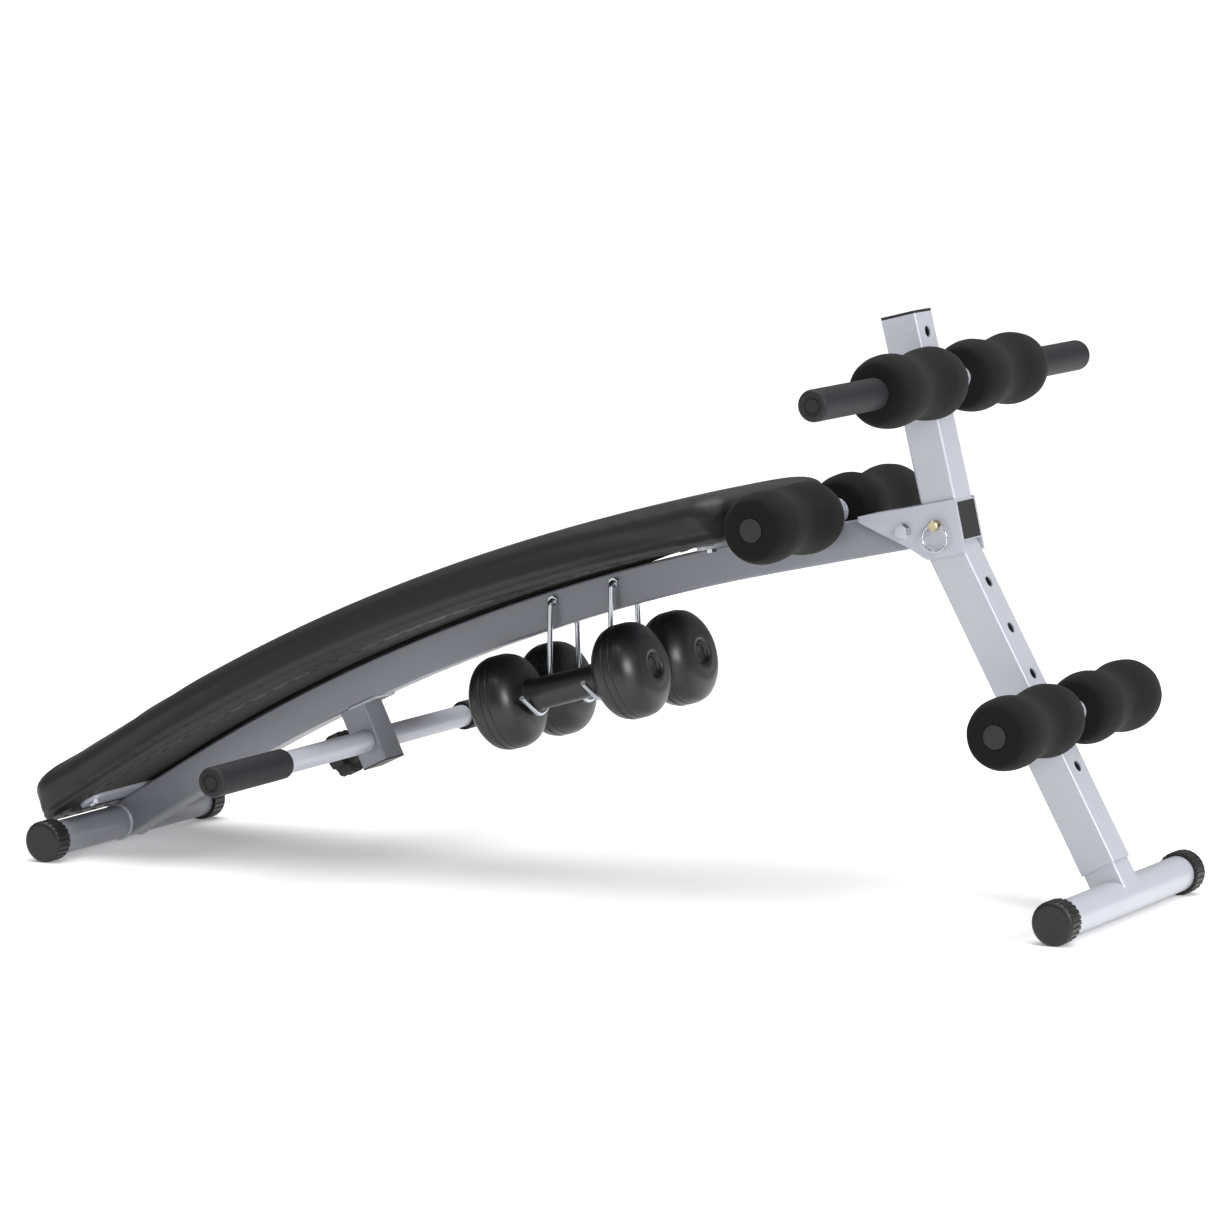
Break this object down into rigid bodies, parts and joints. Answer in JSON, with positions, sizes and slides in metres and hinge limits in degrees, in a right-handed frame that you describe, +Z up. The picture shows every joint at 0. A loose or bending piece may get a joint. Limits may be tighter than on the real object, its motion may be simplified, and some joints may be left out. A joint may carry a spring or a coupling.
{
  "type": "adjustable weight bench",
  "caption": "Arched sit-up and weight bench with a padded board, foam leg rollers, a folding front leg and upright, a push-up bar and dumbbells on hooks.",
  "frame": {"origin": "on the floor under the middle of the bench's overall box", "axes": "+Z up; +X along the bench towards its raised end, where the legs hook under the rollers; Y across"},
  "size_m": [1.3151, 0.666, 0.6286],
  "materials": {
    "grey_powder_coat": "silver-grey powder coat, satin",
    "black_plastic": "moulded black polyethylene",
    "black_vinyl": "black PU leathercloth, fine grain",
    "plywood": "plain plywood",
    "bright_zinc": "bright zinc plate",
    "yellow_zinc": "yellow passivated zinc plate",
    "nylon": "natural nylon",
    "black_foam": "closed-cell nitrile foam, matte",
    "grip_rubber": "matte black grip sleeve",
    "dumbbell_plastic": "blow-moulded black polyethylene, satin sheen",
    "cement": "set cement filling"
  },
  "bodies": {
    "frame": {"main_frame_tube": "grey_powder_coat", "rear_foot_tube": "grey_powder_coat", "rear_foot_cap_left": "black_plastic", "rear_foot_cap_right": "black_plastic", "drop_post": "grey_powder_coat", "drop_post_plug": "black_plastic", "clamp_nut": "bright_zinc", "pad_board": "plywood", "pad_cushion": "black_vinyl", "pad_strap_rear": "grey_powder_coat", "pad_strap_front": "grey_powder_coat", "pad_strap_bolts": "bright_zinc", "knee_roller_tube": "grey_powder_coat", "knee_roller_plugs": "black_plastic", "dumbbell_hook_rear_left": "bright_zinc", "dumbbell_hook_rear_right": "bright_zinc", "dumbbell_hook_front_left": "bright_zinc", "dumbbell_hook_front_right": "bright_zinc", "hook_nuts": "bright_zinc", "pivot_bolt": "bright_zinc", "pivot_nut": "bright_zinc", "pivot_washers": "bright_zinc", "pivot_bush": "nylon"},
    "front_support": {"pivot_bracket": "grey_powder_coat", "front_stub_tube": "grey_powder_coat", "frame_end_plug": "black_plastic", "upright_tube": "grey_powder_coat", "upright_cap": "black_plastic", "upper_handle_tube": "grey_powder_coat", "handle_grip_left": "grip_rubber", "handle_grip_right": "grip_rubber", "upper_tube_saddle": "black_plastic", "upper_tube_bolt": "bright_zinc", "leg_tube": "grey_powder_coat", "inner_leg_tube": "grey_powder_coat", "front_foot_tube": "grey_powder_coat", "front_foot_cap_left": "black_plastic", "front_foot_cap_right": "black_plastic", "lower_roller_tube": "grey_powder_coat", "lower_roller_plugs": "black_plastic", "lower_tube_saddle": "black_plastic", "lower_tube_bolt": "bright_zinc"},
    "lock_pin": {"lock_pin": "yellow_zinc"},
    "pull_ring": {"pull_ring": "bright_zinc"},
    "foot_button": {"foot_button": "grey_powder_coat"},
    "pushup_bar": {"pushup_bar": "grey_powder_coat", "pushup_grip_left": "grip_rubber", "pushup_grip_right": "grip_rubber"},
    "clamp_knob": {"clamp_knob": "black_plastic", "clamp_stud": "bright_zinc"},
    "dumbbell_left": {"dumbbell_left_shell": "dumbbell_plastic", "dumbbell_left_fill": "cement"},
    "dumbbell_right": {"dumbbell_right_shell": "dumbbell_plastic", "dumbbell_right_fill": "cement"},
    "upper_foam_left": {"upper_foam_left": "black_foam"},
    "upper_foam_right": {"upper_foam_right": "black_foam"},
    "knee_foam_left": {"knee_foam_left": "black_foam"},
    "knee_foam_right": {"knee_foam_right": "black_foam"},
    "lower_foam_left": {"lower_foam_left": "black_foam"},
    "lower_foam_right": {"lower_foam_right": "black_foam"}
  },
  "joints": [
    {"name": "front_support_fold", "type": "hinge", "parent": "frame", "child": "front_support", "pos_m": [0.40103, 0, 0.39762], "axis": [0, 1, 0], "range_deg": [0, 80]},
    {"name": "lock_pin_pull", "type": "slide", "parent": "front_support", "child": "lock_pin", "axis": [0, -1, 0], "range_m": [0, 0.07]},
    {"name": "pull_ring_swing", "type": "hinge", "parent": "lock_pin", "child": "pull_ring", "pos_m": [0.43925, -0.0301, 0.4054], "axis": [-1, 0, 0], "range_deg": [-8, 100]},
    {"name": "foot_button_press", "type": "slide", "parent": "front_support", "child": "foot_button", "axis": [-0.8838, 0, -0.4679], "range_m": [0, 0.004], "stiffness_N_per_m": 1500, "springref_m": -0.004},
    {"name": "pushup_bar_slide", "type": "slide", "parent": "frame", "child": "pushup_bar", "axis": [0, 1, 0], "range_m": [-0.16, 0.16]},
    {"name": "clamp_knob_turn", "type": "hinge", "parent": "frame", "child": "clamp_knob", "pos_m": [-0.26871, 0, 0.13519], "axis": [0.9081, 0, 0.4188], "range_deg": [0, 360]},
    {"name": "dumbbell_left_lift", "type": "slide", "parent": "frame", "child": "dumbbell_left", "axis": [0, -0.8387, 0.5446], "range_m": [0, 0.08]},
    {"name": "dumbbell_right_lift", "type": "slide", "parent": "frame", "child": "dumbbell_right", "axis": [0, 0.8387, 0.5446], "range_m": [0, 0.08]},
    {"name": "upper_foam_left_spin", "type": "hinge", "parent": "front_support", "child": "upper_foam_left", "pos_m": [0.44515, 0, 0.5557], "axis": [0, 1, 0], "continuous": true},
    {"name": "upper_foam_right_spin", "type": "hinge", "parent": "front_support", "child": "upper_foam_right", "pos_m": [0.44515, 0, 0.5557], "axis": [0, 1, 0], "continuous": true},
    {"name": "knee_foam_left_spin", "type": "hinge", "parent": "frame", "child": "knee_foam_left", "pos_m": [0.2995, 0, 0.41013], "axis": [0, 1, 0], "continuous": true},
    {"name": "knee_foam_right_spin", "type": "hinge", "parent": "frame", "child": "knee_foam_right", "pos_m": [0.2995, 0, 0.41013], "axis": [0, 1, 0], "continuous": true},
    {"name": "lower_foam_left_spin", "type": "hinge", "parent": "front_support", "child": "lower_foam_left", "pos_m": [0.57446, 0, 0.21112], "axis": [0, 1, 0], "continuous": true},
    {"name": "lower_foam_right_spin", "type": "hinge", "parent": "front_support", "child": "lower_foam_right", "pos_m": [0.57446, 0, 0.21112], "axis": [0, 1, 0], "continuous": true}
  ]
}
